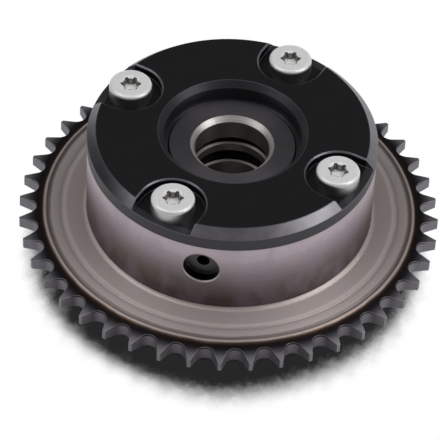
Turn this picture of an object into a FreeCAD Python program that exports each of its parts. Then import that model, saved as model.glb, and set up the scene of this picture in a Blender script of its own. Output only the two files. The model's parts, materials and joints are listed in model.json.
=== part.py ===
import FreeCAD, Part
import math
import os
import re
import Sketcher

# Vane-type cam phaser for a roller timing chain.
# Z runs along the camshaft axis from the rear cover's rear face (Z = 0) to the front cover.
# Angles are counted from +X, seen from the front, and the teeth stand symmetrically about X and Y.

# Driving dimensions, in millimetres and degrees
SIZES = {
    # chain wheel
    "chain_pitch": 8.0,
    "tooth_count": 44,
    "seat_radius": 2.53,
    "seat_half_angle": 66.0,
    "tooth_addendum": 2.28,
    "ring_thickness": 4.2,
    "ring_step": 0.7,
    "tooth_bevel": 0.65,
    "tooth_bevel_length": 4.3,
    "rim_band": 1.75,
    "first_tooth_angle": -0.2,
    # flange of the housing
    "flange_standoff": 1.5,
    "flange_thickness": 8.0,
    "flange_edge_break": 0.35,
    "flange_groove_inset": 1.0,
    "flange_groove_width": 0.8,
    "flange_groove_depth": 0.25,
    "flange_land_inset": 5.0,
    "flange_land_drop": 0.12,
    "base_fillet": 1.2,
    # drum and chambers
    "drum_radius": 39.7,
    "chamber_count": 4,
    "drum_wall": 5.2,
    "chamber_depth": 26.0,
    "lobe_half_angle": 22.0,
    "lobe_relief": 2.0,
    "chamber_corner_radius": 2.0,
    "first_screw_angle": 62.6,
    # stepped hole in the drum's side
    "side_hole_angle": -99.5,
    "side_hole_height": 14.65,
    "side_hole_radius": 4.9,
    "side_hole_depth": 3.0,
    "side_hole_edge_break": 0.35,
    "side_drill_radius": 1.75,
    "side_drill_depth": 7.0,
    # front cover
    "cover_overhang": 0.05,
    "cover_thickness": 6.1,
    "cover_bevel": 2.4,
    "cover_hole_radius": 18.9,
    "cover_hole_bevel": 1.6,
    "pocket_radius": 9.0,
    "pocket_offset": 0.4,
    "pocket_depth": 2.6,
    "pocket_edge_break": 0.4,
    # rear cover
    "rear_cover_thickness": 6.0,
    "rear_cover_margin": 11.6,
    "rear_cover_edge_break": 0.6,
    "rear_bore_radius": 17.5,
    "locating_clearance": 0.03,
    # cover screws
    "screw_inset": 7.3,
    "screw_radius": 3.0,
    "screw_hole_clearance": 0.3,
    "thread_clearance": 0.02,
    "screw_head_radius": 5.95,
    "screw_head_height": 4.4,
    "screw_head_edge": 1.1,
    "screw_end_gap": 0.8,
    "screw_tip_chamfer": 0.6,
    "drive_core_radius": 2.05,
    "drive_lobe_radius": 0.57,
    "drive_lobe_circle_radius": 2.3,
    "drive_lobe_count": 6,
    "drive_depth": 2.4,
    "drive_entry_radius": 3.05,
    "drive_entry_depth": 0.4,
    "first_drive_turn": 0.0,
    "second_drive_turn": 30.0,
    "third_drive_turn": 0.0,
    "fourth_drive_turn": 15.0,
    # rotor
    "hub_radius": 22.0,
    "hub_clearance": 0.04,
    "side_clearance": 0.03,
    "vane_half_angle": 12.5,
    "vane_tip_clearance": 0.08,
    "vane_root_fillet": 1.5,
    "vane_corner_radius": 2.4,
    "stop_gap_angle": 0.2,
    "centre_bore_radius": 10.2,
    "centre_bore_chamfer": 1.3,
    "centre_bore_chamfer_depth": 1.5,
    "boss_gap": 1.3,
    "boss_height": 1.05,
    "boss_edge_break": 0.4,
    "front_land": 5.6,
    "front_groove_width": 2.4,
    "middle_land": 2.5,
    "rear_groove_width": 4.4,
    "oil_groove_depth": 1.1,
    "rear_land": 4.6,
    "pilot_radius": 15.0,
    "pilot_depth": 3.5,
    "pilot_chamfer": 0.5,
    "dowel_hole_radius": 1.5,
    "dowel_hole_depth": 5.0,
    "dowel_hole_circle_radius": 13.2,
    "oil_drill_radius": 1.1,
    "oil_drill_offset_angle": 17.5,
    # seals and their leaf springs
    "seal_width": 2.4,
    "seal_height": 2.4,
    "seal_running_gap": 0.05,
    "seal_slot_clearance": 0.03,
    "seal_slot_depth": 2.9,
    "seal_end_gap": 0.1,
    "leaf_thickness": 0.2,
    "leaf_width": 2.0,
    "leaf_end_gap": 2.0,
    "leaf_foot_length": 1.5,
    "leaf_fit_gap": 0.02,
    # locking pin
    "pin_to_slot_wall": 1.2,
    "pin_radius": 3.25,
    "pin_clearance": 0.03,
    "pin_length": 14.0,
    "pin_nose_radius": 2.75,
    "pin_nose_length": 2.5,
    "pin_nose_chamfer": 0.4,
    "pin_lift": 0.1,
    "pin_bore_radius": 2.2,
    "pin_bore_depth": 10.5,
    "spring_wire_radius": 0.3,
    "spring_coil_radius": 1.7,
    "spring_turns": 10,
    "spring_end_gap": 0.02,
    "spring_seat_radius": 3.9,
    "spring_seat_thickness": 3.4,
    "spring_spigot_radius": 1.2,
    "spring_spigot_length": 2.0,
    "vent_radius": 0.6,
    "lock_bush_radius": 4.8,
    "lock_bush_depth": 4.0,
    "lock_bush_chamfer": 0.4,
    "lock_nose_clearance": 0.15,
    "press_gap": 0.01,
    "unlock_groove_width": 1.6,
    "unlock_groove_depth": 0.8,
    # dowel between the housing and the rear cover
    "rear_dowel_radius": 2.0,
    "rear_dowel_length": 8.0,
    "rear_dowel_inset": 2.4,
    "rear_dowel_offset_angle": 13.0,
    # how far a cut or a root runs past the surface that it opens or joins
    "overrun": 1.0,
}

# Sizes that follow from the driving dimensions
PITCH_RADIUS = "(chain_pitch / 2 / sin(180deg / tooth_count))"
TIP_RADIUS = f"({PITCH_RADIUS} + tooth_addendum)"
FLANGE_RADIUS = f"({PITCH_RADIUS} - seat_radius - rim_band)"
FLANGE_FACE = "(flange_standoff + flange_thickness)"
RING_FRONT = f"({FLANGE_FACE} - ring_step)"
RING_REAR = f"({RING_FRONT} - ring_thickness)"
CHAMBER_RADIUS = "(drum_radius - drum_wall)"
SCREW_CIRCLE = "(drum_radius - screw_inset)"
POCKET_CIRCLE = f"({SCREW_CIRCLE} + pocket_offset)"
DOWEL_CIRCLE = f"({SCREW_CIRCLE} - rear_dowel_inset)"
REAR_COVER_RADIUS = f"({SCREW_CIRCLE} + rear_cover_margin)"
HOUSING_FRONT = "(rear_cover_thickness + chamber_depth)"
COVER_FRONT = f"({HOUSING_FRONT} + cover_thickness)"
POCKET_FLOOR = f"({COVER_FRONT} - pocket_depth)"
COVER_RADIUS = "(drum_radius + cover_overhang)"
CHAMBER_HALF_ANGLE = "(180 / chamber_count - lobe_half_angle)"
HUB_BORE = "(hub_radius + hub_clearance)"
ROTOR_REAR = "(rear_cover_thickness + side_clearance)"
ROTOR_FRONT = f"({HOUSING_FRONT} - side_clearance)"
VANE_RADIUS = f"({CHAMBER_RADIUS} - vane_tip_clearance)"
VANE_SLOT_FLOOR = f"({VANE_RADIUS} - seal_slot_depth)"
PIN_CIRCLE = f"({VANE_SLOT_FLOOR} - pin_to_slot_wall - spring_seat_radius)"
SLOT_HALF_WIDTH = "(seal_width / 2 + seal_slot_clearance)"
SEAL_REAR = f"({ROTOR_REAR} + seal_end_gap)"
SEAL_LENGTH = "(chamber_depth - 2 * side_clearance - 2 * seal_end_gap)"
SPRING_SEAT_REAR = f"({ROTOR_FRONT} - spring_seat_thickness)"
PIN_REAR = "(rear_cover_thickness + pin_lift)"
PIN_FRONT = f"({PIN_REAR} + pin_length)"
SPRING_REAR = f"({PIN_FRONT} - pin_bore_depth + spring_end_gap)"
VANE_TURN = "(360 / chamber_count - lobe_half_angle - stop_gap_angle - vane_half_angle)"
VANE_ANGLE = f"(first_screw_angle + {VANE_TURN})"
DRIVE_TURNS = ("first_drive_turn", "second_drive_turn", "third_drive_turn", "fourth_drive_turn")

os.makedirs("parts", exist_ok=True)
doc = FreeCAD.newDocument("cam_phaser")
sheet = doc.addObject("Spreadsheet::Sheet", "Sizes")
for row, (alias, number) in enumerate(SIZES.items(), start=1):
    sheet.set(f"A{row}", alias.replace("_", " "))
    sheet.set(f"B{row}", str(number))
    sheet.setAlias(f"B{row}", alias)
doc.recompute()


def in_sheet(formula):
    """Put the sheet's name before each size that a formula names."""
    return re.sub(r"[a-z]\w+", lambda word: "Sizes." * (word.group() in SIZES) + word.group(), formula)


def number_of(formula):
    """The value of a formula with the sheet's present sizes."""
    return float(sheet.evalExpression(in_sheet(formula)))


def bind(thing, **formulas):
    """Tie properties of an object to formulas in the sheet's sizes."""
    for name, formula in formulas.items():
        thing.setExpression(name, in_sheet(formula))


def new_body(label, turn="0", across="0"):
    """A body turned about Z, with its own origin moved out along its own X."""
    body = doc.addObject("PartDesign::Body", label)
    body.Label = label
    body.Placement = FreeCAD.Placement(FreeCAD.Vector(), FreeCAD.Rotation(FreeCAD.Vector(0, 0, 1), 1))
    body.setExpression("Placement.Rotation.Angle", in_sheet(f"({turn}) * 1deg"))
    body.setExpression("Placement.Base.x", in_sheet(f"({across}) * cos(({turn}) * 1deg)"))
    body.setExpression("Placement.Base.y", in_sheet(f"({across}) * sin(({turn}) * 1deg)"))
    return body


def origin_feature(body, role):
    return next(item for item in body.Origin.OriginFeatures if item.Role == role)


def new_sketch(body, name, plane="XY_Plane", height="0", turn="0"):
    """A sketch on an origin plane. An XY sketch may be raised; any sketch may be turned about Z."""
    sketch = body.newObject("Sketcher::SketchObject", name)
    sketch.AttachmentSupport = (origin_feature(body, plane), [""])
    sketch.MapMode = "FlatFace"
    about = FreeCAD.Vector(0, 0, 1) if plane == "XY_Plane" else FreeCAD.Vector(0, 1, 0)
    sketch.AttachmentOffset = FreeCAD.Placement(FreeCAD.Vector(), FreeCAD.Rotation(about, 1))
    sketch.setExpression("AttachmentOffset.Rotation.Angle", in_sheet(f"({turn}) * 1deg"))
    if plane == "XY_Plane":
        sketch.setExpression("AttachmentOffset.Base.z", in_sheet(height))
    return sketch


def hold_point(sketch, index, end, across, up):
    """Tie one end of a drawn line or arc, or a circle's centre, to two formulas."""
    for kind, formula in (("DistanceX", across), ("DistanceY", up)):
        row = sketch.addConstraint(Sketcher.Constraint(kind, index, end, number_of(formula)))
        sketch.setExpression(f"Constraints[{row}]", in_sheet(formula))


def hold_radius(sketch, index, radius):
    row = sketch.addConstraint(Sketcher.Constraint("Radius", index, number_of(radius)))
    sketch.setExpression(f"Constraints[{row}]", in_sheet(radius))


def draw_outline(sketch, corners, arcs=None):
    """A closed outline through corners. arcs holds, by the corner that a curved side starts from,
    the side's centre, its radius and whether it runs counter-clockwise round that centre."""
    arcs = arcs or {}
    points = [FreeCAD.Vector(number_of(across), number_of(up), 0) for across, up in corners]
    ends = []
    for index, start in enumerate(points):
        end = points[(index + 1) % len(points)]
        if index in arcs:
            across, up, radius, counter_clockwise = arcs[index]
            centre = FreeCAD.Vector(number_of(across), number_of(up), 0)
            angles = [math.atan2((p - centre).y, (p - centre).x) for p in (start, end)]
            circle = Part.Circle(centre, FreeCAD.Vector(0, 0, 1), number_of(radius))
            ends.append((1, 2) if counter_clockwise else (2, 1))
            angles = angles if counter_clockwise else angles[::-1]
            sketch.addGeometry(Part.ArcOfCircle(circle, *angles), False)
        else:
            ends.append((1, 2))
            sketch.addGeometry(Part.LineSegment(start, end), False)
    for index in range(len(points)):
        following = (index + 1) % len(points)
        joint = Sketcher.Constraint("Coincident", index, ends[index][1], following, ends[following][0])
        sketch.addConstraint(joint)
    for index, (across, up) in enumerate(corners):
        hold_point(sketch, index, ends[index][0], across, up)
    for index, (_, _, radius, _) in arcs.items():
        hold_radius(sketch, index, radius)
    return sketch


def draw_circle(sketch, across, up, radius):
    """A circle whose centre and radius are tied to formulas."""
    centre = FreeCAD.Vector(number_of(across), number_of(up), 0)
    circle = Part.Circle(centre, FreeCAD.Vector(0, 0, 1), number_of(radius))
    index = sketch.addGeometry(circle, False)
    hold_point(sketch, index, 3, across, up)
    hold_radius(sketch, index, radius)
    return sketch


def turn_profile(body, name, corners, arcs=None):
    """A turned form: the profile's corners are pairs of radius and height."""
    sketch = draw_outline(new_sketch(body, f"{name}_profile", "XZ_Plane"), corners, arcs)
    turned = body.newObject("PartDesign::Revolution", name)
    turned.Profile = sketch
    turned.ReferenceAxis = (sketch, ["V_Axis"])
    turned.Angle = 360
    doc.recompute()
    return turned


def pad(body, name, sketch, length, symmetric=False):
    """Raise a sketch by a length, or by half of it to each side."""
    raised = body.newObject("PartDesign::Pad", name)
    raised.Profile = sketch
    raised.SideType = "Symmetric" if symmetric else "One side"
    bind(raised, Length=length)
    doc.recompute()
    return raised


def pocket(body, name, sketch, depth=None, upward=False, taper=None):
    """Cut a sketch right through the body, or to a depth downward or upward. A taper narrows the cut."""
    before = body.Shape.Volume
    cut = body.newObject("PartDesign::Pocket", name)
    cut.Profile = sketch
    if depth is None:
        cut.Type = "ThroughAll"
        cut.SideType = "Symmetric"
    else:
        cut.Reversed = upward
        bind(cut, Length=depth)
    if taper:
        bind(cut, TaperAngle=f"-({taper}) * 1deg")
    doc.recompute()
    check_cut(body, name, before)
    return cut


def radial_cut(body, name, turn, height, steps):
    """A stepped round hole along a radial line. steps are pairs of radial place and hole radius, from
    the hole's inner end, where the radius is 0."""
    before = body.Shape.Volume
    sketch = new_sketch(body, f"{name}_profile", "XZ_Plane", turn=turn)
    corners = [(place, f"{height} + {radius}") for place, radius in steps]
    corners.append((steps[-1][0], height))
    draw_outline(sketch, corners)
    ends = [FreeCAD.Vector(number_of(place), number_of(up), 0) for place, up in (corners[0], corners[-1])]
    axis = sketch.addGeometry(Part.LineSegment(*ends), True)
    sketch.addConstraint(Sketcher.Constraint("Coincident", axis, 1, 0, 1))
    sketch.addConstraint(Sketcher.Constraint("Coincident", axis, 2, len(corners) - 1, 1))
    cut = body.newObject("PartDesign::Groove", name)
    cut.Profile = sketch
    cut.ReferenceAxis = (sketch, ["Axis0"])
    cut.Angle = 360
    doc.recompute()
    check_cut(body, name, before)
    return cut


def check_cut(body, name, before):
    if not body.Shape.Volume < before:
        raise ValueError(f"{name} cuts nothing")


def round_pattern(body, feature, count):
    """Repeat a feature about the body's own Z axis."""
    pattern = body.newObject("PartDesign::PolarPattern", f"{feature.Name}_round")
    pattern.Originals = [feature]
    pattern.Axis = (origin_feature(body, "Z_Axis"), [""])
    pattern.Angle = 360
    bind(pattern, Occurrences=count)
    body.Tip = pattern
    doc.recompute()
    return pattern


def edges_where(shape, test):
    """Names of the edges whose middle point and edge pass a test."""
    names = []
    for index, edge in enumerate(shape.Edges, start=1):
        middle = edge.valueAt((edge.FirstParameter + edge.LastParameter) / 2)
        if test(middle, edge):
            names.append(f"Edge{index}")
    return names


def dress(body, kind, name, test, size):
    """Round or bevel the edges that pass a test. kind is Fillet or Chamfer."""
    base = body.Tip
    feature = body.newObject(f"PartDesign::{kind}", name)
    feature.Base = (base, edges_where(base.Shape, test))
    bind(feature, **{"Radius" if kind == "Fillet" else "Size": size})
    body.Tip = feature
    doc.recompute()
    return feature


def near(value, formula, margin=0.02):
    return abs(value - number_of(formula)) < margin


def is_upright(edge):
    return edge.BoundBox.ZLength > 1 and edge.BoundBox.XLength < 0.01 and edge.BoundBox.YLength < 0.01


def from_axis(point):
    return math.hypot(point.x, point.y)


def sector(inner, outer, half_angle):
    """Corners and arcs of a ring sector centred on +X, with a straight inner side."""
    corners = [
        (f"{inner} * cos({half_angle} * 1deg)", f"-{inner} * sin({half_angle} * 1deg)"),
        (f"{outer} * cos({half_angle} * 1deg)", f"-{outer} * sin({half_angle} * 1deg)"),
        (f"{outer} * cos({half_angle} * 1deg)", f"{outer} * sin({half_angle} * 1deg)"),
        (f"{inner} * cos({half_angle} * 1deg)", f"{inner} * sin({half_angle} * 1deg)"),
    ]
    return corners, {1: ("0", "0", outer, True)}


def open_slot(round_x, open_x, half_width):
    """Corners and arcs of a slot along X that is round at its inner end, about round_x."""
    corners = [
        (open_x, f"-{half_width}"),
        (round_x, f"-{half_width}"),
        (f"{round_x} - {half_width}", "0"),
        (round_x, half_width),
        (open_x, half_width),
    ]
    quarter = (round_x, "0", half_width, False)
    return corners, {1: quarter, 2: quarter}


def box_outline(low_x, high_x, half_width):
    """Corners of a rectangle that lies symmetrically about X."""
    return [
        (low_x, f"-{half_width}"),
        (high_x, f"-{half_width}"),
        (high_x, half_width),
        (low_x, half_width),
    ]


def sprocket_housing():
    """Drum, flange and toothed rim: one sintered piece, with the four chambers inside."""
    body = new_body("sprocket_housing")
    land_radius = f"({FLANGE_RADIUS} - flange_land_inset)"
    groove_outer = f"({FLANGE_RADIUS} - flange_groove_inset)"
    groove_inner = f"({groove_outer} - flange_groove_width)"
    land_height = f"({FLANGE_FACE} - flange_land_drop)"
    groove_floor = f"({land_height} - flange_groove_depth)"
    bevel_start = f"({TIP_RADIUS} - tooth_bevel_length)"
    recess_radius = f"({REAR_COVER_RADIUS} + locating_clearance)"
    turn_profile(body, "turned_form", [
        (HUB_BORE, HOUSING_FRONT),
        ("drum_radius", HOUSING_FRONT),
        ("drum_radius", f"{FLANGE_FACE} + base_fillet"),
        ("drum_radius + base_fillet", FLANGE_FACE),
        (f"{land_radius} - flange_land_drop", FLANGE_FACE),
        (land_radius, land_height),
        (groove_inner, land_height),
        (f"{groove_inner} + flange_groove_depth", groove_floor),
        (f"{groove_outer} - flange_groove_depth", groove_floor),
        (groove_outer, land_height),
        (f"{FLANGE_RADIUS} - flange_edge_break", land_height),
        (FLANGE_RADIUS, f"{land_height} - flange_edge_break"),
        (FLANGE_RADIUS, RING_FRONT),
        (bevel_start, RING_FRONT),
        (TIP_RADIUS, f"{RING_FRONT} - tooth_bevel"),
        (TIP_RADIUS, f"{RING_REAR} + tooth_bevel"),
        (bevel_start, RING_REAR),
        (FLANGE_RADIUS, RING_REAR),
        (FLANGE_RADIUS, "flange_standoff + flange_edge_break"),
        (f"{FLANGE_RADIUS} - flange_edge_break", "flange_standoff"),
        (recess_radius, "flange_standoff"),
        (recess_radius, "rear_cover_thickness"),
        (HUB_BORE, "rear_cover_thickness"),
    ], {2: ("drum_radius + base_fillet", f"{FLANGE_FACE} + base_fillet", "base_fillet", True)})

    # chambers between the lobes, and the relief at each lobe's inner corners
    chamber_turn = "first_screw_angle + 180 / chamber_count"
    corners, arcs = sector("(hub_radius - lobe_relief)", CHAMBER_RADIUS, CHAMBER_HALF_ANGLE)
    cut = pocket(body, "chamber", draw_outline(
        new_sketch(body, "chamber_outline", turn=chamber_turn), corners, arcs))
    round_pattern(body, cut, "chamber_count")
    dress(body, "Fillet", "chamber_corners", lambda middle, edge: is_upright(edge)
          and near(from_axis(middle), CHAMBER_RADIUS), "chamber_corner_radius")
    dress(body, "Chamfer", "lobe_reliefs", lambda middle, edge: is_upright(edge)
          and near(from_axis(middle), HUB_BORE), "lobe_relief")

    # seal slot and screw hole in each lobe
    slot = new_sketch(body, "lobe_slot_outline", turn="first_screw_angle")
    draw_outline(slot, box_outline("(hub_radius - overrun)", f"({HUB_BORE} + seal_slot_depth)",
                                   SLOT_HALF_WIDTH))
    round_pattern(body, pocket(body, "lobe_slot", slot), "chamber_count")
    hole = new_sketch(body, "screw_hole_outline", turn="first_screw_angle")
    draw_circle(hole, SCREW_CIRCLE, "0", "screw_radius + screw_hole_clearance")
    round_pattern(body, pocket(body, "screw_hole", hole), "chamber_count")

    # blind hole for the dowel, from the rear cover's seat
    dowel = new_sketch(body, "dowel_hole_outline", height="rear_cover_thickness",
                       turn="first_screw_angle + rear_dowel_offset_angle")
    draw_circle(dowel, DOWEL_CIRCLE, "0", "rear_dowel_radius + press_gap")
    pocket(body, "dowel_hole", dowel, "rear_dowel_length / 2 + press_gap", upward=True)

    # stepped blind hole in the drum's side, with a broken edge
    floor = "(drum_radius - side_hole_depth)"
    drill_floor = "(drum_radius - side_drill_depth)"
    edge = "side_hole_edge_break"
    radial_cut(body, "side_hole", "side_hole_angle", f"({FLANGE_FACE} + side_hole_height)", [
        (f"{drill_floor} - side_drill_radius / 2", "0"),
        (drill_floor, "side_drill_radius"),
        (floor, "side_drill_radius"),
        (floor, "side_hole_radius"),
        (f"drum_radius - {edge}", "side_hole_radius"),
        (f"drum_radius + {edge}", f"side_hole_radius + 2 * {edge}"),
    ])

    # gap between two teeth: a roller seat and two straight flanks, cut through the rim only
    seat_x = f"({PITCH_RADIUS} - seat_radius * cos(seat_half_angle * 1deg))"
    seat_y = "(seat_radius * sin(seat_half_angle * 1deg))"
    out_x = f"({TIP_RADIUS} + overrun)"
    out_y = f"({seat_y} + ({out_x} - {seat_x}) / tan(seat_half_angle * 1deg))"
    gap = new_sketch(body, "tooth_gap_outline", turn="first_tooth_angle + 180 / tooth_count")
    draw_outline(gap, [(out_x, out_y), (seat_x, seat_y), (seat_x, f"-{seat_y}"), (out_x, f"-{out_y}")],
                 {1: (PITCH_RADIUS, "0", "seat_radius", True)})
    round_pattern(body, pocket(body, "tooth_gap", gap), "tooth_count")


def front_cover():
    """Black front cover: bevelled rim, bevelled centre hole and a pocket for each screw head."""
    body = new_body("front_cover", "first_screw_angle")
    turn_profile(body, "cover_form", [
        ("cover_hole_radius", HOUSING_FRONT),
        (COVER_RADIUS, HOUSING_FRONT),
        (COVER_RADIUS, f"{COVER_FRONT} - cover_bevel"),
        (f"{COVER_RADIUS} - cover_bevel", COVER_FRONT),
        ("cover_hole_radius + cover_hole_bevel", COVER_FRONT),
        ("cover_hole_radius", f"{COVER_FRONT} - cover_hole_bevel"),
    ])
    for name, radius, depth, taper in (
            ("head_pocket", "pocket_radius", "pocket_depth", None),
            ("pocket_edge", "(pocket_radius + pocket_edge_break)", "pocket_edge_break", "45")):
        outline = new_sketch(body, f"{name}_outline", height=COVER_FRONT)
        corners, arcs = open_slot(POCKET_CIRCLE, f"({COVER_RADIUS} + overrun)", radius)
        draw_outline(outline, corners, arcs)
        round_pattern(body, pocket(body, name, outline, depth, taper=taper), "chamber_count")
    hole = new_sketch(body, "screw_hole_outline")
    draw_circle(hole, SCREW_CIRCLE, "0", "screw_radius + screw_hole_clearance")
    round_pattern(body, pocket(body, "screw_hole", hole), "chamber_count")


def rear_cover():
    """Steel rear cover: closes the chambers, takes the screws and runs on the camshaft's nose."""
    body = new_body("rear_cover", "first_screw_angle")
    edge = "rear_cover_edge_break"
    turn_profile(body, "cover_form", [
        (f"rear_bore_radius + {edge}", "0"),
        (f"{REAR_COVER_RADIUS} - {edge}", "0"),
        (REAR_COVER_RADIUS, edge),
        (REAR_COVER_RADIUS, f"rear_cover_thickness - {edge}"),
        (f"{REAR_COVER_RADIUS} - {edge}", "rear_cover_thickness"),
        ("rear_bore_radius", "rear_cover_thickness"),
        ("rear_bore_radius", edge),
    ])
    thread = new_sketch(body, "screw_thread_outline")
    draw_circle(thread, SCREW_CIRCLE, "0", "screw_radius")
    round_pattern(body, pocket(body, "screw_thread", thread), "chamber_count")
    bush = new_sketch(body, "bush_seat_outline", height="rear_cover_thickness", turn=VANE_TURN)
    draw_circle(bush, PIN_CIRCLE, "0", "lock_bush_radius + press_gap")
    pocket(body, "bush_seat", bush, "lock_bush_depth")
    dowel = new_sketch(body, "dowel_hole_outline", height="rear_cover_thickness",
                       turn="rear_dowel_offset_angle")
    draw_circle(dowel, DOWEL_CIRCLE, "0", "rear_dowel_radius + press_gap")
    pocket(body, "dowel_hole", dowel, "rear_dowel_length / 2 + press_gap")


def cover_screw(number):
    """Cylinder-head screw with a rounded head edge and a six-lobe recess behind a conical entry."""
    turn = f"(first_screw_angle + {number - 1} * 360 / chamber_count)"
    body = new_body(f"cover_screw_{number}", turn, SCREW_CIRCLE)
    shank = "(screw_radius - thread_clearance)"
    head_top = f"({POCKET_FLOOR} + screw_head_height)"
    edge = "screw_head_edge"
    turn_profile(body, "screw_form", [
        ("0", "screw_end_gap"),
        (f"{shank} - screw_tip_chamfer", "screw_end_gap"),
        (shank, "screw_end_gap + screw_tip_chamfer"),
        (shank, POCKET_FLOOR),
        ("screw_head_radius", POCKET_FLOOR),
        ("screw_head_radius", f"{head_top} - {edge}"),
        (f"screw_head_radius - {edge}", head_top),
        ("drive_entry_radius", head_top),
        ("drive_core_radius", f"{head_top} - drive_entry_depth"),
        ("0", f"{head_top} - drive_entry_depth"),
    ], {5: (f"screw_head_radius - {edge}", f"{head_top} - {edge}", edge, True)})
    core = new_sketch(body, "drive_core_outline", height=head_top)
    pocket(body, "drive_core", draw_circle(core, "0", "0", "drive_core_radius"), "drive_depth")
    drive_turn = DRIVE_TURNS[(number - 1) % len(DRIVE_TURNS)]
    lobe = new_sketch(body, "drive_lobe_outline", height=head_top, turn=drive_turn)
    draw_circle(lobe, "drive_lobe_circle_radius", "0", "drive_lobe_radius")
    round_pattern(body, pocket(body, "drive_lobe", lobe, "drive_depth"), "drive_lobe_count")


def rotor():
    """Hub and four vanes in one piece, with the grooved centre bore and the locking pin's bore."""
    body = new_body("rotor", VANE_ANGLE)
    groove_radius = "(centre_bore_radius + oil_groove_depth)"
    boss_radius = "(cover_hole_radius - boss_gap)"
    boss_front = f"({ROTOR_FRONT} + boss_height)"
    front_edge = f"({boss_front} - centre_bore_chamfer_depth)"
    front_groove_top = f"({front_edge} - front_land)"
    front_groove_floor = f"({front_groove_top} - front_groove_width)"
    rear_groove_top = f"({front_groove_floor} - middle_land)"
    rear_groove_floor = f"({rear_groove_top} - rear_groove_width)"
    gallery_top = f"({rear_groove_floor} - rear_land)"
    ledge = f"({ROTOR_REAR} + pilot_depth)"
    turn_profile(body, "hub_form", [
        ("pilot_radius + pilot_chamfer", ROTOR_REAR),
        ("hub_radius", ROTOR_REAR),
        ("hub_radius", ROTOR_FRONT),
        (boss_radius, ROTOR_FRONT),
        (boss_radius, f"{boss_front} - boss_edge_break"),
        (f"{boss_radius} - boss_edge_break", boss_front),
        ("centre_bore_radius + centre_bore_chamfer", boss_front),
        ("centre_bore_radius", front_edge),
        ("centre_bore_radius", front_groove_top),
        (groove_radius, front_groove_top),
        (groove_radius, front_groove_floor),
        ("centre_bore_radius", front_groove_floor),
        ("centre_bore_radius", rear_groove_top),
        (groove_radius, rear_groove_top),
        (groove_radius, rear_groove_floor),
        ("centre_bore_radius", rear_groove_floor),
        ("centre_bore_radius", gallery_top),
        (groove_radius, gallery_top),
        (groove_radius, ledge),
        ("pilot_radius", ledge),
        ("pilot_radius", f"{ROTOR_REAR} + pilot_chamfer"),
    ])

    # four vanes, rounded at the tips and at the roots
    corners, arcs = sector("(hub_radius - overrun)", VANE_RADIUS, "vane_half_angle")
    outline = draw_outline(new_sketch(body, "vane_outline", height=ROTOR_REAR), corners, arcs)
    vane = pad(body, "vane", outline, "chamber_depth - 2 * side_clearance")
    round_pattern(body, vane, "chamber_count")
    dress(body, "Fillet", "vane_corners", lambda middle, edge: is_upright(edge)
          and near(from_axis(middle), VANE_RADIUS), "vane_corner_radius")
    dress(body, "Fillet", "vane_roots", lambda middle, edge: is_upright(edge)
          and near(from_axis(middle), "hub_radius"), "vane_root_fillet")
    slot = new_sketch(body, "vane_slot_outline")
    draw_outline(slot, box_outline(VANE_SLOT_FLOOR, f"({VANE_RADIUS} + overrun)", SLOT_HALF_WIDTH))
    round_pattern(body, pocket(body, "vane_slot", slot), "chamber_count")

    # oil drillings from the two grooves to both sides of each vane
    for name, turn, top, width in (
            ("advance_drilling", "oil_drill_offset_angle", front_groove_top, "front_groove_width"),
            ("retard_drilling", "-oil_drill_offset_angle", rear_groove_top, "rear_groove_width")):
        drilling = radial_cut(body, name, turn, f"({top} - {width} / 2)", [
            ("centre_bore_radius", "0"),
            ("centre_bore_radius", "oil_drill_radius"),
            ("hub_radius + vane_root_fillet", "oil_drill_radius"),
        ])
        round_pattern(body, drilling, "chamber_count")

    # dowel hole in the pilot's ledge, for the camshaft
    dowel = new_sketch(body, "dowel_hole_outline", height=ledge, turn="180 / chamber_count")
    draw_circle(dowel, "dowel_hole_circle_radius", "0", "dowel_hole_radius")
    pocket(body, "dowel_hole", dowel, "dowel_hole_depth", upward=True)

    # the pin's bore, the seat's wider bore in front of it, and the groove that lets oil under the pin
    bore = draw_circle(new_sketch(body, "pin_bore_outline"), PIN_CIRCLE, "0",
                       "pin_radius + pin_clearance")
    pocket(body, "pin_bore", bore)
    seat = new_sketch(body, "spring_seat_bore_outline", height=ROTOR_FRONT)
    draw_circle(seat, PIN_CIRCLE, "0", "spring_seat_radius + press_gap")
    pocket(body, "spring_seat_bore", seat, "spring_seat_thickness")
    groove = new_sketch(body, "unlock_groove_outline", height=ROTOR_REAR)
    half = "(unlock_groove_width / 2)"
    reach = f"({PIN_CIRCLE} * tan(vane_half_angle * 1deg) + pin_radius)"
    draw_outline(groove, [
        (f"{PIN_CIRCLE} - {half}", "0"),
        (f"{PIN_CIRCLE} + {half}", "0"),
        (f"{PIN_CIRCLE} + {half}", reach),
        (f"{PIN_CIRCLE} - {half}", reach),
    ])
    pocket(body, "unlock_groove", groove, "unlock_groove_depth", upward=True)


def seal(label, turn, corners, arcs):
    """Straight seal strip with a running face curved to the wall that it slides on."""
    body = new_body(label, turn)
    outline = draw_outline(new_sketch(body, "seal_outline", height=SEAL_REAR), corners, arcs)
    pad(body, "seal_strip", outline, SEAL_LENGTH)


def vane_seal(number):
    radius = f"({CHAMBER_RADIUS} - seal_running_gap)"
    back = f"({radius} - seal_height)"
    half = "(seal_width / 2)"
    front = f"sqrt({radius} * {radius} - {half} * {half})"
    corners = [(back, f"-{half}"), (front, f"-{half}"), (front, half), (back, half)]
    turn = f"({VANE_ANGLE} + {number - 1} * 360 / chamber_count)"
    seal(f"vane_seal_{number}", turn, corners, {1: ("0", "0", radius, True)})


def lobe_seal(number):
    radius = "(hub_radius + seal_running_gap)"
    back = f"({radius} + seal_height)"
    half = "(seal_width / 2)"
    front = f"sqrt({radius} * {radius} - {half} * {half})"
    corners = [(front, f"-{half}"), (back, f"-{half}"), (back, half), (front, half)]
    turn = f"(first_screw_angle + {number - 1} * 360 / chamber_count)"
    seal(f"lobe_seal_{number}", turn, corners, {3: ("0", "0", radius, False)})


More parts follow.
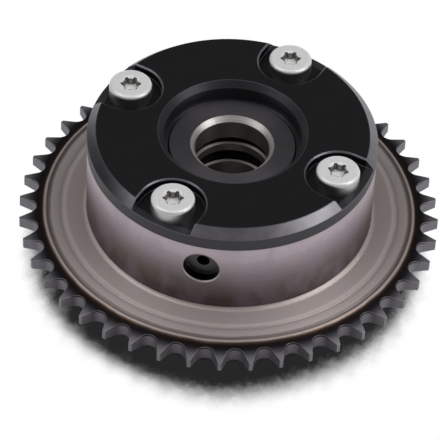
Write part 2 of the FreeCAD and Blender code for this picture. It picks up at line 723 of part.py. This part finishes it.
def leaf_spring(label, turn, floor, back):
    """Bowed leaf between the slot's floor and the back of a seal."""
    body = new_body(label, turn)
    side = 1 if number_of(back) > number_of(floor) else -1
    near_floor = f"({floor} + {side} * leaf_fit_gap)"
    near_seal = f"({back} - {side} * leaf_fit_gap)"
    thick = f"{side} * leaf_thickness"
    low = f"({SEAL_REAR} + leaf_end_gap)"
    high = f"({SEAL_REAR} + {SEAL_LENGTH} - leaf_end_gap)"
    third = f"(({high} - {low}) / 3)"
    foot = "leaf_foot_length"
    outline = draw_outline(new_sketch(body, "leaf_profile", "XZ_Plane"), [
        (near_seal, low),
        (near_seal, f"{low} + {foot}"),
        (f"{near_floor} + {thick}", f"{low} + {third}"),
        (f"{near_floor} + {thick}", f"{high} - {third}"),
        (near_seal, f"{high} - {foot}"),
        (near_seal, high),
        (f"{near_seal} - {thick}", high),
        (f"{near_seal} - {thick}", f"{high} - {foot}"),
        (near_floor, f"{high} - {third}"),
        (near_floor, f"{low} + {third}"),
        (f"{near_seal} - {thick}", f"{low} + {foot}"),
        (f"{near_seal} - {thick}", low),
    ])
    pad(body, "leaf", outline, "leaf_width", symmetric=True)


def vane_spring(number):
    leaf_spring(f"vane_spring_{number}", f"({VANE_ANGLE} + {number - 1} * 360 / chamber_count)",
                VANE_SLOT_FLOOR, f"({CHAMBER_RADIUS} - seal_running_gap - seal_height)")


def lobe_spring(number):
    leaf_spring(f"lobe_spring_{number}", f"(first_screw_angle + {number - 1} * 360 / chamber_count)",
                f"({HUB_BORE} + seal_slot_depth)", "(hub_radius + seal_running_gap + seal_height)")


def lock_pin():
    """Stepped locking pin, bored from the front for its spring."""
    body = new_body("lock_pin", VANE_ANGLE, PIN_CIRCLE)
    chamfer = "pin_nose_chamfer"
    turn_profile(body, "pin_form", [
        ("0", PIN_REAR),
        (f"pin_nose_radius - {chamfer}", PIN_REAR),
        ("pin_nose_radius", f"{PIN_REAR} + {chamfer}"),
        ("pin_nose_radius", f"{PIN_REAR} + pin_nose_length"),
        ("pin_radius", f"{PIN_REAR} + pin_nose_length + pin_radius - pin_nose_radius"),
        ("pin_radius", PIN_FRONT),
        ("pin_bore_radius", PIN_FRONT),
        ("pin_bore_radius", f"{PIN_FRONT} - pin_bore_depth"),
        ("0", f"{PIN_FRONT} - pin_bore_depth"),
    ])


def lock_spring():
    """Coil spring between the locking pin and its seat."""
    body = new_body("lock_spring", VANE_ANGLE, PIN_CIRCLE)
    sketch = new_sketch(body, "wire_profile", "XZ_Plane")
    draw_circle(sketch, "spring_coil_radius", f"{SPRING_REAR} + spring_wire_radius", "spring_wire_radius")
    coil = body.newObject("PartDesign::AdditiveHelix", "coil")
    coil.Profile = sketch
    coil.ReferenceAxis = (sketch, ["V_Axis"])
    coil.Mode = "height-turns-angle"
    length = f"{SPRING_SEAT_REAR} - {SPRING_REAR} - spring_end_gap - 2 * spring_wire_radius"
    bind(coil, Height=length, Turns="spring_turns")
    doc.recompute()


def lock_spring_seat():
    """Plug that closes the pin's bore, with a spigot for the spring and a vent through it."""
    body = new_body("lock_spring_seat", VANE_ANGLE, PIN_CIRCLE)
    turn_profile(body, "seat_form", [
        ("vent_radius", f"{SPRING_SEAT_REAR} - spring_spigot_length"),
        ("spring_spigot_radius", f"{SPRING_SEAT_REAR} - spring_spigot_length"),
        ("spring_spigot_radius", SPRING_SEAT_REAR),
        ("spring_seat_radius", SPRING_SEAT_REAR),
        ("spring_seat_radius", ROTOR_FRONT),
        ("vent_radius", ROTOR_FRONT),
    ])


def lock_bush():
    """Hard ring in the rear cover that the locking pin's nose drops into."""
    body = new_body("lock_bush", VANE_ANGLE, PIN_CIRCLE)
    hole = "(pin_nose_radius + lock_nose_clearance)"
    floor = "(rear_cover_thickness - lock_bush_depth)"
    turn_profile(body, "bush_form", [
        (hole, floor),
        ("lock_bush_radius", floor),
        ("lock_bush_radius", "rear_cover_thickness"),
        (f"{hole} + lock_bush_chamfer", "rear_cover_thickness"),
        (hole, "rear_cover_thickness - lock_bush_chamfer"),
    ])


def rear_dowel():
    """Plain dowel, half in the housing and half in the rear cover."""
    body = new_body("rear_dowel", "first_screw_angle + rear_dowel_offset_angle", DOWEL_CIRCLE)
    turn_profile(body, "dowel_form", [
        ("0", "rear_cover_thickness - rear_dowel_length / 2"),
        ("rear_dowel_radius", "rear_cover_thickness - rear_dowel_length / 2"),
        ("rear_dowel_radius", "rear_cover_thickness + rear_dowel_length / 2"),
        ("0", "rear_cover_thickness + rear_dowel_length / 2"),
    ])


sprocket_housing()
front_cover()
rear_cover()
rotor()
for piece in (cover_screw, vane_seal, vane_spring, lobe_seal, lobe_spring):
    for number in range(1, SIZES["chamber_count"] + 1):
        piece(number)
for piece in (lock_pin, lock_spring, lock_spring_seat, lock_bush, rear_dowel):
    piece()
doc.recompute()

bodies = [item for item in doc.Objects if item.TypeId == "PartDesign::Body"]
faults = [f"{item.Label}: {item.State}" for item in doc.Objects if {"Invalid", "Error"} & set(item.State)]
faults += [body.Label for body in bodies if body.Shape.isNull() or not body.Shape.isValid()]
faults += [f"{body.Label} is not one solid" for body in bodies if len(body.Shape.Solids) != 1]
if faults:
    raise ValueError("; ".join(faults))
for body in bodies:
    body.Shape.exportStep(f"parts/{body.Label}.step")
    print(body.Label, round(body.Shape.Volume, 1))
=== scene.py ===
import json
import math

import bpy
from mathutils import Matrix, Vector


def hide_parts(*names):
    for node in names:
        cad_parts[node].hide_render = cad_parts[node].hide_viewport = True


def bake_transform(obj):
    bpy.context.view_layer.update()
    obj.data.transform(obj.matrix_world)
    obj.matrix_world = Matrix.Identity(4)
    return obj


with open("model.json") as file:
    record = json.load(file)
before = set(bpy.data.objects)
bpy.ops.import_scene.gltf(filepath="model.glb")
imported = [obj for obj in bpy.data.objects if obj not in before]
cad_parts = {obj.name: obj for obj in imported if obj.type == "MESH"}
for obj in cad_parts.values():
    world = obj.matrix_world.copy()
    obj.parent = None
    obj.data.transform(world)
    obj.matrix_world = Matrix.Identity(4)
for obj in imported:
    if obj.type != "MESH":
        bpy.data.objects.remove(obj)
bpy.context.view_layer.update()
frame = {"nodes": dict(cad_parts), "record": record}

# Places on the part, in millimetres and degrees: radii from the camshaft axis, heights above the rear
# face and angles from +X
MM = 0.001
FLANGE_FACE = 9.5
DRUM_RADIUS = 39.7
RIM_INNER_RADIUS = 52.4
TOOTH_GAP_RADIUS = 53.3
RING_FRONT = 8.8
TOOTH_BEVEL = 0.65
SIDE_HOLE_ANGLE = -99.5
SIDE_HOLE_HEIGHT = 24.15
SIDE_HOLE_RADIUS = 4.9
SIDE_HOLE_DEPTH = 3.0
SIDE_HOLE_EDGE = 0.4
COVER_FRONT = 38.1
COVER_RADIUS = 39.75
COVER_BEVEL = 2.4
SHADED_BEVEL_ANGLE = -160
HOLE_RADIUS = 18.9
HOLE_BEVEL = 1.6
POCKET_EDGE = 0.4
BOSS_FRONT = 33.02
BORE_RADIUS = 10.2
BORE_CHAMFER_RADIUS = 11.5
BORE_CHAMFER_DEPTH = 1.5
OIL_GROOVE_DEPTH = 1.1
SCREW_CIRCLE = 32.4
FIRST_SCREW_ANGLE = 62.6
HEAD_TOP = 39.9
RECESS_FLOOR = 37.5
RECESS_RADIUS = 2.95
PIN_AXIS = (-12.3627, 23.3491)
COIL_REAR = 9.62
COIL_FRONT = 28.55
COIL_RADIUS = 1.7
COIL_TURNS = 10
WIRE_RADIUS = 0.3


def linear(hex_colour):
    """sRGB hex to the linear colour that shaders take."""
    channels = [int(hex_colour[i:i + 2], 16) / 255 for i in (0, 2, 4)]
    return [c / 12.92 if c <= 0.04045 else ((c + 0.055) / 1.055) ** 2.4 for c in channels] + [1.0]


def connect(tree, socket, value):
    """Link an output, or a node's first open output, to a socket, or set the socket's own value."""
    if isinstance(value, bpy.types.Node):
        value = next(output for output in value.outputs if output.enabled)
    if isinstance(value, bpy.types.NodeSocket):
        tree.links.new(value, socket)
    elif value is not None:
        socket.default_value = value


def add(tree, kind, *values, **named):
    """Add a shader node, such as Math.MULTIPLY. Values go to its open inputs in order. Of the named
    ones, those in lower case are settings, and the others are inputs with underscores for spaces."""
    kind, _, choice = kind.partition(".")
    node = tree.nodes.new(f"ShaderNode{kind}")
    if choice:
        setattr(node, "data_type" if kind == "Mix" else "operation", choice)
    for name, value in named.items():
        if name[0].islower():
            setattr(node, name, value)
    open_inputs = [socket for socket in node.inputs if socket.enabled]
    for socket, value in zip(open_inputs, values):
        connect(tree, socket, value)
    for name, value in named.items():
        if name[0].isupper():
            connect(tree, node.inputs[name.replace("_", " ")], value)
    return node


def ramp(tree, value, stops):
    """Colours along a value from 0 to 1. Stops are pairs of place and linear colour."""
    node = add(tree, "ValToRGB", value)
    elements = node.color_ramp.elements
    while len(elements) < len(stops):
        elements.new(0.5)
    for element, (place, colour) in zip(elements, stops):
        element.position = place
        element.color = colour
    return node


class Finish:
    """A material under construction, with measures from the part's axis and rear face. Masks are 1
    where they hold and 0 elsewhere, and lengths are in millimetres."""

    def __init__(self, name):
        self.material = bpy.data.materials.new(name)
        self.material.use_nodes = True
        self.tree = self.material.node_tree
        self.tree.nodes.clear()
        self.shader = self.add("BsdfPrincipled")
        self.output = self.add("OutputMaterial", Surface=self.shader)
        self.place = self.add("TexCoord").outputs["Object"]
        self.rounded = None

    def add(self, kind, *values, **named):
        return add(self.tree, kind, *values, **named)

    def radius(self):
        """Distance from the camshaft axis."""
        flat = self.add("VectorMath.MULTIPLY", self.place, (1 / MM, 1 / MM, 0))
        return self.add("VectorMath.LENGTH", flat)

    def height(self):
        """Height above the rear face."""
        return self.add("Math.DIVIDE", self.add("SeparateXYZ", self.place).outputs[2], MM)

    def along(self, angle):
        """Distance from the axis along a horizontal direction."""
        turn = math.radians(angle)
        return self.add("VectorMath.DOT_PRODUCT", self.place, (math.cos(turn) / MM, math.sin(turn) / MM, 0))

    def distance(self, first, second):
        """Distance from a line, from its two parts square to the line."""
        return self.add("VectorMath.LENGTH", self.add("CombineXYZ", first, second, 0.0))

    def past(self, value, edge, soft):
        """1 where the value is past the edge, 0 short of it, with a soft step."""
        return self.add("MapRange", value, edge - soft, edge + soft)

    def short_of(self, value, edge, soft):
        """1 where the value is short of the edge, 0 past it, with a soft step."""
        return self.add("MapRange", value, edge + soft, edge - soft)

    def between(self, value, low, high, soft):
        """1 where the value is between low and high, 0 outside, with soft steps."""
        return self.add("Math.SUBTRACT", self.past(value, low, soft), self.past(value, high, soft))

    def clouds(self, size, detail=3, stretch=(1, 1, 1)):
        """Soft noise whose patches are about size across."""
        scaled = self.add("VectorMath.MULTIPLY", self.place, stretch)
        return self.add("TexNoise", Vector=scaled, Scale=1 / (size * MM), Detail=detail)

    def grain(self, size):
        """Noise that runs along circles round the axis: fine in radius and height, long round it."""
        place = self.add("CombineXYZ", self.radius(), self.height(), 0.0)
        return self.add("TexNoise", Vector=place, Scale=1 / size, Detail=3)

    def wandering(self, value, spread, noise):
        """The value, moved up or down by up to half the spread."""
        return self.add("Math.MULTIPLY_ADD", noise, spread, self.add("Math.SUBTRACT", value, spread / 2))

    def stops(self, value, colours):
        """Colours by place along a value."""
        low, high = colours[0][0], colours[-1][0]
        spread = self.add("MapRange", value, low, high)
        return ramp(self.tree, spread, [((place - low) / (high - low), linear(c)) for place, c in colours])

    def painted(self, under, *coats):
        """A colour under coats, each a mask and its own colour, the last on top."""
        for mask, colour in coats:
            colour = linear(colour) if isinstance(colour, str) else colour
            under = self.add("Mix.RGBA", mask, under, colour)
        return under

    def shaded(self, colour, noise, low, high):
        """The colour, darker or lighter as the noise goes from a quarter to three quarters."""
        shade = self.add("MapRange", noise, 0.25, 0.75, low, high)
        grey = self.add("CombineColor", shade, shade, shade)
        return self.add("Mix.RGBA", 1.0, colour, grey, blend_type="MULTIPLY")

    def worn_edges(self, size):
        """1 on edges sharper than the surface round them, over about size. It rounds them as well."""
        self.rounded = self.add("Bevel", samples=6, Radius=size * MM)
        true_normal = self.add("NewGeometry").outputs["Normal"]
        same = self.add("VectorMath.DOT_PRODUCT", self.rounded, true_normal)
        return self.add("MapRange", same, 0.99, 0.86)

    def relief(self, pattern, depth):
        """A pattern's height and depth on the surface, over the rounded edges where there are any."""
        bump = self.add("Bump", Height=pattern, Strength=1.0, Distance=depth * MM, Normal=self.rounded)
        self.surface(Normal=bump)

    def turned(self, amount):
        """Lathe marks: the gloss is drawn out across the circles round the axis."""
        round_axis = self.add("Tangent", direction_type="RADIAL", axis="Z")
        self.surface(Tangent=round_axis, Anisotropic=amount, Anisotropic_Rotation=0.25)

    def surface(self, **inputs):
        """Set or link the shader's inputs, with underscores for spaces."""
        for name, value in inputs.items():
            connect(self.tree, self.shader.inputs[name.replace("_", " ")], value)
        return self.material


def sintered_steel():
    """Turned sintered steel whose toothed rim is induction hardened: grey on the turned faces, with a
    brown to black oxide band where the hardening heat stopped, and dark steam-oxide teeth."""
    f = Finish("Turned sintered steel with a blackened hardened rim")
    radius, height = f.radius(), f.height()
    worn = f.worn_edges(0.3)
    # turned flange: rings paler or darker, partly its turned finish and partly painted light on the ring
    # steps, with painted shade in the groove near 50 mm and a painted highlight inside the outer edge; then
    # the brown and black of the heated rim
    face = f.stops(f.wandering(radius, 0.5, f.clouds(9, 4)), [
        (38.0, "C9BEBC"), (45.0, "C9BEBC"), (45.5, "DCD1CF"), (46.3, "DBD0CE"), (46.8, "AEA4A2"),
        (47.4, "C2B8B6"), (48.4, "CAC0BE"), (49.5, "D0C6C4"), (50.0, "8A807E"), (50.8, "8A807E"),
        (51.25, "DCD0CA"), (51.6, "A3938A"), (51.85, "54423A"), (52.3, "332925"), (53.2, "262122"),
        # tooth tops painted paler towards their tips: a painted highlight on their sloping tops
        (54.2, "302E32"), (55.5, "59575C"), (56.5, "7B797E"), (57.6, "89878B"), (60.0, "8C8A8E"),
    ])
    # drum: lilac in soft clouds and browner towards the flange; paler near its front edge and darker
    # towards the flange as a painted reflection of the white floor further out and the darker flange close
    # by
    drum = f.stops(f.wandering(height, 3, f.clouds(14, 3, (1, 1, 0.3))), [
        (9.0, "5C5351"), (13.0, "5C5351"), (18.0, "776D6B"), (22.0, "90868A"), (26.0, "A99DA2"),
        (29.0, "BDB1B8"), (40.0, "C4B8BA"),
    ])
    lilac = f.add("MapRange", f.clouds(7, 2, (1, 1, 0.6)), 0.45, 0.65, 0.0, 0.3)
    on_drum = f.add("Math.LESS_THAN", radius, DRUM_RADIUS + 0.05)
    colour = f.painted(face, (on_drum, f.painted(drum, (lilac, "9C93A6"))))
    streaks, sinter = f.grain(0.35), f.clouds(0.5, 4)
    colour = f.shaded(f.shaded(colour, streaks, 0.9, 1.06), sinter, 0.93, 1.05)
    # teeth: walls of the gaps in scale grey, edges rubbed paler by the chain
    rim = f.past(radius, RIM_INNER_RADIUS, 0.4)
    below_bevel = f.add("Math.LESS_THAN", height, RING_FRONT - TOOTH_BEVEL)
    walls = f.add("Math.MULTIPLY", f.past(radius, TOOTH_GAP_RADIUS, 0.1), below_bevel)
    rubbed = f.add("Math.MULTIPLY", worn, f.add("Math.MULTIPLY", rim, 0.7))
    # hole in the drum's side: dark inside, a grey floor, and a painted glint on its lower edge
    out, aside = f.along(SIDE_HOLE_ANGLE), f.along(SIDE_HOLE_ANGLE + 90)
    low = f.add("Math.SUBTRACT", height, SIDE_HOLE_HEIGHT)
    off_axis = f.distance(aside, low)
    ahead = f.add("Math.GREATER_THAN", out, 0)
    wall_radius = SIDE_HOLE_RADIUS + 0.02
    inside = f.add("Math.MULTIPLY", f.add("Math.LESS_THAN", off_axis, wall_radius), ahead)
    hole_floor = DRUM_RADIUS - SIDE_HOLE_DEPTH
    floor_part = f.add("Math.MULTIPLY", f.between(out, hole_floor - 0.1, hole_floor + 0.1, 0.02), inside)
    edge = f.between(off_axis, wall_radius, SIDE_HOLE_RADIUS + SIDE_HOLE_EDGE, 0.02)
    below = f.add("MapRange", low, -0.5, -3.5)
    painted_glint = f.add("Math.MULTIPLY", f.add("Math.MULTIPLY", edge, ahead), below)
    colour = f.painted(colour, (walls, "817E84"), (rubbed, "B2AFB3"),
                       (inside, "191717"), (floor_part, "605C5E"), (painted_glint, "C5BDBB"))
    # the flange and the rim scatter more than the drum
    flat = f.between(radius, DRUM_RADIUS + 0.05, RIM_INNER_RADIUS, 0.3)
    rough = f.add("Math.MULTIPLY_ADD", streaks, 0.12, 0.3)
    rough = f.add("Math.MULTIPLY_ADD", f.add("Math.MAXIMUM", rim, flat), 0.22, rough)
    f.relief(f.add("Math.MULTIPLY_ADD", sinter, 0.5, streaks), 0.004)
    f.turned(0.5)
    return f.surface(Base_Color=colour, Metallic=1.0, Roughness=rough)


def black_cover():
    """Black oxide cover plate: near-black and satin, with paler bevels that were cut after blackening."""
    f = Finish("Satin black oxide on steel")
    radius, height = f.radius(), f.height()
    worn = f.worn_edges(0.35)
    streaks = f.grain(0.4)
    black = f.painted(linear("0F0E12"), (f.clouds(6, 4), "18171B"))
    bevel_radius = COVER_RADIUS - COVER_BEVEL
    rim = f.past(radius, bevel_radius + 0.1, 0.1)
    bevel = f.add("Math.MULTIPLY", rim, f.past(height, COVER_FRONT - COVER_BEVEL, 0.05))
    # painted shade: on one side the outer bevel's cut is painted dark, where the light falls away from it
    shaded_side = f.add("MapRange", f.along(SHADED_BEVEL_ANGLE), 32.0, 38.0, 0.0, 0.85)
    cut = f.painted(f.shaded(linear("827F85"), f.clouds(3, 4), 0.8, 1.1), (shaded_side, "1F1E22"))
    # broken edges of the head pockets, bare from the cutter
    land = f.between(radius, HOLE_RADIUS + HOLE_BEVEL + 0.5, bevel_radius, 0.1)
    broken = f.between(height, COVER_FRONT - POCKET_EDGE, COVER_FRONT - 0.02, 0.015)
    pockets = f.add("Math.MULTIPLY", land, broken)
    colour = f.painted(black, (rim, "38363A"), (bevel, cut),
                       # painted sheen: the centre hole's bevel and wall are painted a lighter grey than the
                       # black face
                       (f.short_of(radius, HOLE_RADIUS + HOLE_BEVEL, 0.1), "29272B"),
                       (pockets, "76737A"), (f.add("Math.MULTIPLY", worn, 0.6), "8A898F"))
    rough = f.add("Math.MULTIPLY_ADD", streaks, 0.15, 0.33)
    f.relief(f.add("Math.MULTIPLY_ADD", f.clouds(0.3, 3), 0.4, streaks), 0.004)
    metal = f.add("Math.MULTIPLY_ADD", f.add("Math.MAXIMUM", bevel, pockets), 0.45, 0.5)
    return f.surface(Base_Color=colour, Metallic=metal, Roughness=rough)


def rotor_steel():
    """Dark sintered steel, turned on its front face. The centre bore's chamfer and lands are machined
    brighter, its ledges are painted paler still as a painted highlight, and its oil grooves are painted
    dark as painted shade."""
    f = Finish("Dark turned sintered steel with a machined bore")
    f.worn_edges(0.15)
    radius = f.radius()
    streaks = f.grain(0.3)
    lands = f.short_of(radius, BORE_RADIUS + 0.1, 0.03)
    ring = f.between(radius, BORE_RADIUS, BORE_CHAMFER_RADIUS, 0.03)
    above = f.add("Math.GREATER_THAN", f.height(), BOSS_FRONT - BORE_CHAMFER_DEPTH - 0.05)
    under = f.add("Math.SUBTRACT", 1.0, above)
    deep = f.between(radius, BORE_RADIUS + OIL_GROOVE_DEPTH - 0.15, BORE_CHAMFER_RADIUS, 0.03)
    chamfer = f.add("Math.MULTIPLY", ring, above)
    ledges = f.add("Math.MULTIPLY", ring, under)
    grooves = f.add("Math.MULTIPLY", deep, under)
    # painted highlight on the ledges and painted shade in the oil grooves
    colour = f.painted(linear("6E6B6F"), (f.clouds(5, 3), "7E7B7F"), (chamfer, "D8D4D2"),
                       (ledges, "CFC6C0"), (grooves, "181412"), (lands, "857E7B"))
    colour = f.shaded(colour, streaks, 0.8, 1.1)
    f.relief(streaks, 0.004)
    f.turned(0.7)
    rough = f.add("Math.MULTIPLY_ADD", streaks, 0.12, 0.26)
    rough = f.add("Math.MULTIPLY_ADD", ring, 0.2, rough)
    return f.surface(Base_Color=colour, Metallic=1.0, Roughness=rough)


def screw_steel():
    """Zinc-flake plating: a pale silver skin, more matt than bare steel, with a fine speckle."""
    f = Finish("Silver zinc-flake plating")
    height = f.height()
    worn = f.worn_edges(0.25)
    speckle = f.painted(linear("E2E1E2"), (f.clouds(0.6, 3), "F6F5F6"))
    # painted light: the head's top is painted paler and more matt, and its side darker and fully metallic
    # as painted shade
    top = f.add("MapRange", height, HEAD_TOP - 1.0, HEAD_TOP - 0.3)
    # the drive recess: its walls painted greyer as painted shade, and its floor painted white as a painted
    # highlight
    first = f.add("Math.ABSOLUTE", f.along(FIRST_SCREW_ANGLE))
    second = f.add("Math.ABSOLUTE", f.along(FIRST_SCREW_ANGLE + 90))
    ahead = f.add("Math.SUBTRACT", f.add("Math.MAXIMUM", first, second), SCREW_CIRCLE)
    off_axis = f.distance(ahead, f.add("Math.MINIMUM", first, second))
    middle = f.add("Math.LESS_THAN", off_axis, RECESS_RADIUS)
    floor_top = RECESS_FLOOR + 0.05
    walls = f.add("Math.MULTIPLY", middle, f.between(height, floor_top, HEAD_TOP - 0.3, 0.03))
    lit_pit = f.add("Math.MULTIPLY", middle, f.add("Math.LESS_THAN", height, floor_top))
    colour = f.painted(linear("B4B2B3"), (top, speckle), (f.add("Math.MULTIPLY", worn, 0.3), "FAF9F9"),
                       (walls, "84817D"), (lit_pit, "FFFFFF"))
    f.relief(f.clouds(0.3, 3), 0.008)
    matt_top_and_pit = f.add("Math.MAXIMUM", f.add("Math.MULTIPLY", top, 0.75), lit_pit)
    return f.surface(Base_Color=colour, Metallic=f.add("Math.SUBTRACT", 1.0, matt_top_and_pit), Roughness=0.4)


def plain_steel(name, colour, rough, size, depth):
    """Bare steel with a turned grain: a little lighter and darker from ring to ring."""
    f = Finish(name)
    streaks = f.grain(size)
    shade = f.add("Math.MULTIPLY_ADD", f.clouds(5, 3), 0.5, f.add("Math.MULTIPLY", streaks, 0.5))
    dark = [c * 0.72 for c in linear(colour)[:3]] + [1]
    mixed = f.painted(dark, (f.add("MapRange", shade, 0.3, 0.7), colour))
    f.relief(streaks, depth)
    rough = f.add("Math.MULTIPLY_ADD", streaks, 0.15, rough)
    return f.surface(Base_Color=mixed, Metallic=1.0, Roughness=rough)


def seal_plastic():
    """Dark brown moulded seal strip with a fine matt surface."""
    f = Finish("Brown moulded plastic")
    colour = f.painted(linear("2A2420"), (f.clouds(0.8, 3), "3A322B"))
    f.relief(f.clouds(0.15, 2), 0.003)
    return f.surface(Base_Color=colour, Metallic=0.0, Roughness=0.5)


finishes = {
    "sintered_steel": sintered_steel(),
    "black_cover": black_cover(),
    "rear_cover_steel": plain_steel("Ground steel", "A39F9C", 0.25, 0.4, 0.004),
    "rotor_steel": rotor_steel(),
    "screw_steel": screw_steel(),
    "hardened_steel": plain_steel("Fine ground hardened steel", "B5B1AC", 0.2, 0.3, 0.002),
    "spring_steel": plain_steel("Bright spring wire", "A8A5A0", 0.25, 0.3, 0.002),
    "seal_plastic": seal_plastic(),
}
slot_of = {part["node"]: part["material_slot"] for part in frame["record"]["subparts"]}
for node, thing in frame["nodes"].items():
    for place in thing.material_slots:
        place.material = finishes[slot_of[node]]


def new_object(name, data):
    thing = bpy.data.objects.new(name, data)
    bpy.context.scene.collection.objects.link(thing)
    return thing


def coil_spring(name, start):
    """The locking pin's spring as a closed tube along a rising coil. Start is its rear end's angle."""
    rings, sides = 32 * COIL_TURNS, 12
    low, high = COIL_REAR + WIRE_RADIUS, COIL_FRONT - WIRE_RADIUS
    rise = (high - low) / (COIL_TURNS * math.tau)
    points = []
    for ring in range(rings + 1):
        turn = start + math.tau * COIL_TURNS * ring / rings
        out = Vector((math.cos(turn), math.sin(turn), 0))
        up = Vector((math.sin(turn) * rise, -math.cos(turn) * rise, COIL_RADIUS)).normalized()
        middle = Vector((*PIN_AXIS, low + (high - low) * ring / rings)) + out * COIL_RADIUS
        for side in range(sides):
            a = math.tau * side / sides
            points.append((middle + WIRE_RADIUS * (math.cos(a) * out + math.sin(a) * up)) * MM)
    faces = [tuple(range(sides)), tuple(reversed(range(rings * sides, (rings + 1) * sides)))]
    for ring in range(rings):
        for side in range(sides):
            here, beside = ring * sides + side, ring * sides + (side + 1) % sides
            faces.append((here, here + sides, beside + sides, beside))
    mesh = bpy.data.meshes.new(name)
    mesh.from_pydata(points, [], faces)
    mesh.shade_smooth()
    return new_object(name, mesh)


# The locking pin's spring, drawn as a coil in place of the part's own spring. It keeps one length here,
# though the real spring shortens as the pin is pushed in
coil = coil_spring("lock_spring_coil", math.atan2(PIN_AXIS[1], PIN_AXIS[0]))
coil.data.materials.append(finishes["spring_steel"])
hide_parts("lock_spring")
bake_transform(coil)

# Floor: white paper just under the rear face. Straight or mirrored it is seen as a plain white glow, with
# the part's contact shadow painted into it from ambient occlusion, and it lights the part as paper does
FLOOR_REACH = 4.0
FLOOR_HEIGHT = -0.02 * MM
SHADOW_REACH = 0.024
corners = [(-FLOOR_REACH, -FLOOR_REACH), (FLOOR_REACH, -FLOOR_REACH),
           (FLOOR_REACH, FLOOR_REACH), (-FLOOR_REACH, FLOOR_REACH)]
floor_mesh = bpy.data.meshes.new("floor")
floor_mesh.from_pydata([(x, y, FLOOR_HEIGHT) for x, y in corners], [], [(0, 1, 2, 3)])
floor = new_object("floor", floor_mesh)
paper = Finish("White studio paper")
paper.surface(Base_Color=(0.9, 0.9, 0.9, 1), Roughness=0.9)
# painted shadow: occlusion is sought towards above and behind, so that the shadow lies in front
shadow_tilt = paper.add("CombineXYZ", 0.05, 0.87, 0.49)
open_sky = paper.add("AmbientOcclusion", samples=16, Distance=SHADOW_REACH, Normal=shadow_tilt).outputs["AO"]
# the painted shadow is thinned towards both sides, the more the further from the middle
painted_thinning = paper.add("MapRange", paper.add("Math.ABSOLUTE", paper.along(0)), 0.0, 25.0, 0.0, 0.07)
lit = paper.add("Math.ADD", open_sky, painted_thinning)
shadow = paper.add("MapRange", lit, 0.555, 0.7, 0.02, 1.0, interpolation_type="SMOOTHSTEP")
glow = paper.add("Emission", Color=(1, 1, 1, 1), Strength=shadow)
ray = paper.add("LightPath").outputs
seen = paper.add("Math.ADD", ray["Is Camera Ray"], ray["Is Glossy Ray"])
seen = paper.add("Math.ADD", seen, ray["Is Transmission Ray"])
paper_look = paper.add("MixShader", seen, paper.shader, glow)
# one-sided, so that the rear face can be looked at from below
underneath = paper.add("NewGeometry").outputs["Backfacing"]
paper_look = paper.add("MixShader", underneath, paper_look, paper.add("BsdfTransparent"))
connect(paper.tree, paper.output.inputs["Surface"], paper_look)
floor_mesh.materials.append(paper.material)

LAMP_DISTANCE = 1.0


def softbox(name, azimuth, elevation, size, power):
    """A square lamp that looks at the part. Azimuth is counted from -Y, towards +X."""
    lamp = bpy.data.lights.new(name, "AREA")
    lamp.shape = "SQUARE"
    lamp.size = size
    lamp.energy = power
    thing = new_object(name, lamp)
    a, e = math.radians(azimuth), math.radians(elevation)
    aim = Vector((math.sin(a) * math.cos(e), -math.cos(a) * math.cos(e), math.sin(e)))
    thing.location = LAMP_DISTANCE * aim
    thing.rotation_euler = (-aim).to_track_quat("-Z", "Y").to_euler()


softbox("left high", -80, 56, 0.5, 2.2)
softbox("right high", 80, 56, 0.5, 2.2)
softbox("right", 72, 33, 0.45, 2.2)
softbox("left", -76, 30, 0.3, 0.4)

# Room: a pale backdrop behind and above, and a dark room on the camera's side
world = bpy.data.worlds.new("room")
bpy.context.scene.world = world
world.use_nodes = True
room = world.node_tree
room.nodes.clear()


def wall(rise, greys):
    """Greys of a wall by the sine of the height above the horizon."""
    return ramp(room, rise, [(place, (grey, grey, grey, 1)) for place, grey in greys])


way = add(room, "TexCoord").outputs["Generated"]
depth, rise = add(room, "SeparateXYZ", way).outputs[1:]
behind = add(room, "MapRange", depth, -0.35, 0.35)
front_wall = wall(rise, [(0.0, 0.13), (0.3, 0.13), (0.6, 0.14), (0.8, 0.2), (1.0, 0.8)])
back_wall = wall(rise, [(0.0, 0.8), (0.3, 0.35), (0.6, 0.16), (0.8, 0.2), (1.0, 0.8)])
both_walls = add(room, "Mix.RGBA", behind, front_wall, back_wall)
add(room, "OutputWorld", Surface=add(room, "Background", Color=both_walls, Strength=1.0))

# Camera of the photograph, fitted to the part's coaxial circles and tooth tips. Lengths are in the
# fit's own unit, from the middle of the flange's face, and angles are in radians
UNIT = 1.0366 * MM
DISTANCE = 839.3166
ELEVATION = 0.7817
PITCH = 0.7866
YAW = -0.0037
ROLL = -0.0510
FOCAL_PIXELS = 3124.77
FRAME_PIXELS = 440
SENSOR = 36.0
FAR_CLIP = 20.0
forward = Vector((math.sin(YAW) * math.cos(PITCH), math.cos(YAW) * math.cos(PITCH), -math.sin(PITCH)))
level = Vector((math.cos(YAW), -math.sin(YAW), 0))
steep = forward.cross(level)
right = math.cos(ROLL) * level + math.sin(ROLL) * steep
down = -math.sin(ROLL) * level + math.cos(ROLL) * steep
spot = Vector((0, -DISTANCE * math.cos(ELEVATION), DISTANCE * math.sin(ELEVATION))) * UNIT
spot.z += FLANGE_FACE * MM
camera = new_object("camera", bpy.data.cameras.new("camera"))
camera.data.sensor_width = SENSOR
camera.data.lens = FOCAL_PIXELS / FRAME_PIXELS * SENSOR
camera.data.clip_end = FAR_CLIP
axes = Matrix((right, -down, -forward)).transposed().to_4x4()
camera.matrix_world = Matrix.Translation(spot) @ axes
bpy.context.scene.camera = camera
bpy.context.scene.view_settings.view_transform = "Standard"
